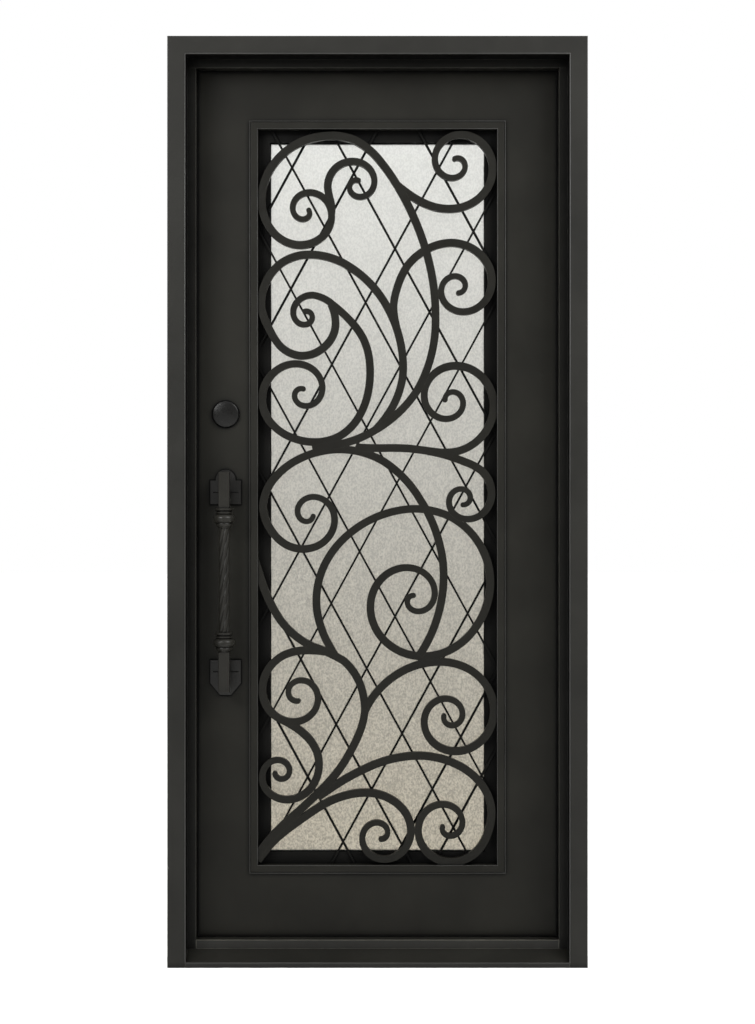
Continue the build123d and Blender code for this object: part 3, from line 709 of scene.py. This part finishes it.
def make_hardware_shadow_seals():
    """Thin black seals round the feet of the pull plates and the rose, which paint their contact shadow,
    and black in the grooves as painted shade.
    """
    middle, radius = (rose_low + rose_high) / 2, (rose_high.x - rose_low.x) / 2
    rose = [(middle.x + side, middle.z + rise) for side, rise in circle(radius, ROSE_STEPS)]
    plates = frame["nodes"]["outer_pull_plates"]
    shapes = [
        slab(grown(outline, HARDWARE_SHADOW_MARGIN), leaf_face - SHADOW_SEAL_RISE, leaf_face + SINK)
        for outline in [rose] + outline_loops(plates, leaf_face)
    ]
    shapes += [
        slab(grown(outline, -GROOVE_GAP), GROOVE_FLOOR - GROOVE_SHADE_FILL, GROOVE_FLOOR + SINK)
        for outline in outline_loops(plates, GROOVE_FLOOR)
    ]
    add_piece("hardware_shadow_seals", shapes, LEAF_BODY, "rubber_seal", smooth=False)


# Screws: radius and dome of each kind
STRIKE_SCREW = (0.0042, 0.0009)
SASH_HINGE_SCREW = (0.0032, 0.0010)
LATCH_SCREW = (0.0030, 0.0010)
TURN_SCREW = (0.0034, 0.0011)
SCREW_RINGS, SCREW_STEPS = 12, 32
# Cross recess: half width and reach of its arms as shares of the radius, depth as a share of the dome
CROSS_HALF, CROSS_REACH, CROSS_DEPTH = 0.17, 0.62, 0.75
SCREW_LIFT, SCREW_SINK = 0.0002, 0.0004
# Where the screws sit: from the middle of the strike plate and of the thumbturn, and on the sash
STRIKE_SCREW_RISE = 0.026
TURN_SCREW_SIDE, TURN_PLATE = 0.021, 0.009
SASH_GAP = 0.001
SASH_JOINT = sash_high.x + SASH_GAP
SASH_FITTING = 0.003
FITTING_SHARES = (0.1, 0.5, 0.9)
SASH_SCREW_SIDE, SASH_SCREW_RISE, LATCH_SCREW_RISE = 0.0115, 0.02, 0.0315


def screw_head(place, across, upward, radius, dome):
    """Oval screw head with a cross recess; across and upward span the surface that it sits on."""
    outward = across.cross(upward)
    points = []
    for ring in range(1, SCREW_RINGS + 1):
        share = ring / SCREW_RINGS
        for side, rise in circle(radius * share, SCREW_STEPS):
            near, far = sorted((abs(side), abs(rise)))
            height = dome * (1 - share ** 2) + SCREW_LIFT
            if near < CROSS_HALF * radius and far < CROSS_REACH * radius:
                height -= CROSS_DEPTH * dome
            points.append(place + across * side + upward * rise + outward * height)
    foot = len(points)
    for side, rise in circle(radius, SCREW_STEPS):
        points.append(place + across * side + upward * rise - outward * SCREW_SINK)
    centre = len(points)
    points.append(place + outward * ((1 - CROSS_DEPTH) * dome + SCREW_LIFT))
    faces = [(centre, step, (step + 1) % SCREW_STEPS) for step in range(SCREW_STEPS)]
    for ring in range(SCREW_RINGS):
        faces += band(ring * SCREW_STEPS, (ring + 1) * SCREW_STEPS, SCREW_STEPS)
    faces.append(tuple(foot + step for step in range(SCREW_STEPS - 1, -1, -1)))
    return [tuple(point) for point in points], faces


def make_screws():
    middle = (strike_low + strike_high) / 2
    places = [Vector((strike_high.x, middle.y, middle.z + side * STRIKE_SCREW_RISE)) for side in (-1, 1)]
    shapes = [screw_head(place, INWARD, UP, *STRIKE_SCREW) for place in places]
    add_piece("strike_screws", shapes, FRAME_BODY, "lock_steel")

    shapes = []
    plate = leaf_back + SASH_FITTING
    for share in FITTING_SHARES:
        height = sash_low.z + (sash_high.z - sash_low.z) * share
        for out in (-SASH_SCREW_SIDE, SASH_SCREW_SIDE):
            for rise in (-SASH_SCREW_RISE, SASH_SCREW_RISE):
                place = Vector((SASH_JOINT + out, plate, height + rise))
                shapes.append(screw_head(place, -RIGHT, UP, *SASH_HINGE_SCREW))
        for rise in (-LATCH_SCREW_RISE, LATCH_SCREW_RISE):
            place = Vector((-SASH_JOINT, plate, height + rise))
            shapes.append(screw_head(place, -RIGHT, UP, *LATCH_SCREW))
    middle = (turn_low + turn_high) / 2
    for side in (-TURN_SCREW_SIDE, TURN_SCREW_SIDE):
        place = Vector((middle.x + side, turn_low.y + TURN_PLATE, middle.z))
        shapes.append(screw_head(place, -RIGHT, UP, *TURN_SCREW))
    add_piece("leaf_screws", shapes, LEAF_BODY, "lock_steel")


# Hinges: gap between knuckle and cap, radii of the cap's neck and dome as shares of the barrel's
KNUCKLE_GAP = 0.0005
CAP_NECK, CAP_DOME = 0.80, 0.93
CAP_SINK, CAP_LIFT = 0.0003, 0.0006
CAP_SHOULDER, CAP_BASE, CAP_RISE = 0.0008, 0.0012, 0.0045
CAP_STEP = 9
LATHE_STEPS = 32
# Ends of the straps, measured sideways from the pin
STRAP_NEAR, STRAP_FAR = 0.014, 0.040
# Weld beads: radius, pitch of their stations, height as a share of the radius, and unevenness
WELD_RADIUS, WELD_PITCH, WELD_HEIGHT = 0.0022, 0.0011, 0.62
RIPPLE_STATIONS, WELD_GRAIN = 3, 400
WELD_SWELL, WELD_RIPPLE, WELD_DRIFT, WELD_END = 0.86, 0.14, 0.08, 0.3
WELD_STEPS = 10


def lathe(place, profile):
    """Turned shape about the vertical through place, from (radius, height) pairs, closed."""
    points = [
        (place[0] + side, place[1] + back, place[2] + height)
        for radius, height in profile for side, back in circle(radius, LATHE_STEPS)
    ]
    return points, tube(len(profile), LATHE_STEPS)


def make_hinge_caps():
    """Domed ends of the barrels: the lower ones stay with the frame, the upper ones with the leaf."""
    neck, dome = HINGE_BARREL * CAP_NECK, HINGE_BARREL * CAP_DOME
    turns = [radians(turn) for turn in range(0, 90, CAP_STEP)]
    profile = [(neck, -CAP_SINK), (neck, CAP_LIFT), (dome, CAP_SHOULDER)]
    profile += [(dome * cos(turn), CAP_BASE + CAP_RISE * sin(turn)) for turn in turns]
    for body, name, side in ((FRAME_BODY, "lower_hinge_caps", -1), (LEAF_BODY, "upper_hinge_caps", 1)):
        turned = [(radius, side * rise) for radius, rise in profile]
        ends = [height + side * (KNUCKLE_HEIGHT + KNUCKLE_GAP) for height in HINGE_HEIGHTS]
        shapes = [lathe((HINGE_X, HINGE_Y, end), turned) for end in ends]
        add_piece(name, shapes, body, "hinge_paint")


def weld_bead(route):
    """Rippled bead along a route of points on the inner face, half sunk in it."""
    stations = []
    for start, end in zip(route, route[1:]):
        length, along = (end - start).length, (end - start).normalized()
        for step in range(round(length / WELD_PITCH)):
            stations.append((start.lerp(end, step * WELD_PITCH / length), along))
    stations.append((route[-1], along))
    points = []
    for place, (spot, along) in enumerate(stations):
        across = along.cross(INWARD)
        ripple = WELD_RIPPLE * sin(place * 2 * pi / RIPPLE_STATIONS)
        swell = WELD_SWELL + ripple + WELD_DRIFT * noise.noise(spot * WELD_GRAIN)
        if place in (0, len(stations) - 1):
            swell = WELD_END
        for side, rise in circle(WELD_RADIUS * swell, WELD_STEPS):
            points.append(tuple(spot + across * side + INWARD * (WELD_HEIGHT * rise)))
    return points, tube(len(stations), WELD_STEPS)


def make_hinge_welds():
    """Weld beads round the straps of the hinges, on the inner face of frame and leaf."""
    for body, name, side in ((FRAME_BODY, "frame_hinge_welds", 1), (LEAF_BODY, "leaf_hinge_welds", -1)):
        near, far = HINGE_X + side * STRAP_NEAR, HINGE_X + side * STRAP_FAR
        shapes = []
        for height in HINGE_HEIGHTS:
            low = height + (KNUCKLE_GAP if side < 0 else -KNUCKLE_HEIGHT - KNUCKLE_GAP)
            high = low + KNUCKLE_HEIGHT
            corners = ((near, low), (far, low), (far, high), (near, high))
            shapes.append(weld_bead([Vector((x, leaf_back, z)) for x, z in corners]))
        add_piece(name, shapes, body, "hinge_paint")


bpy.context.scene.view_settings.view_transform = "Standard"
make_camera()
make_world()
make_lights()
make_floor()
dress_nodes()
soften_edges()
thicken_lattice()
make_rain_glass()
make_weatherstrip()
make_glazing_gasket()
make_edge_beads()
make_hardware_shadow_seals()
make_screws()
make_hinge_caps()
make_hinge_welds()
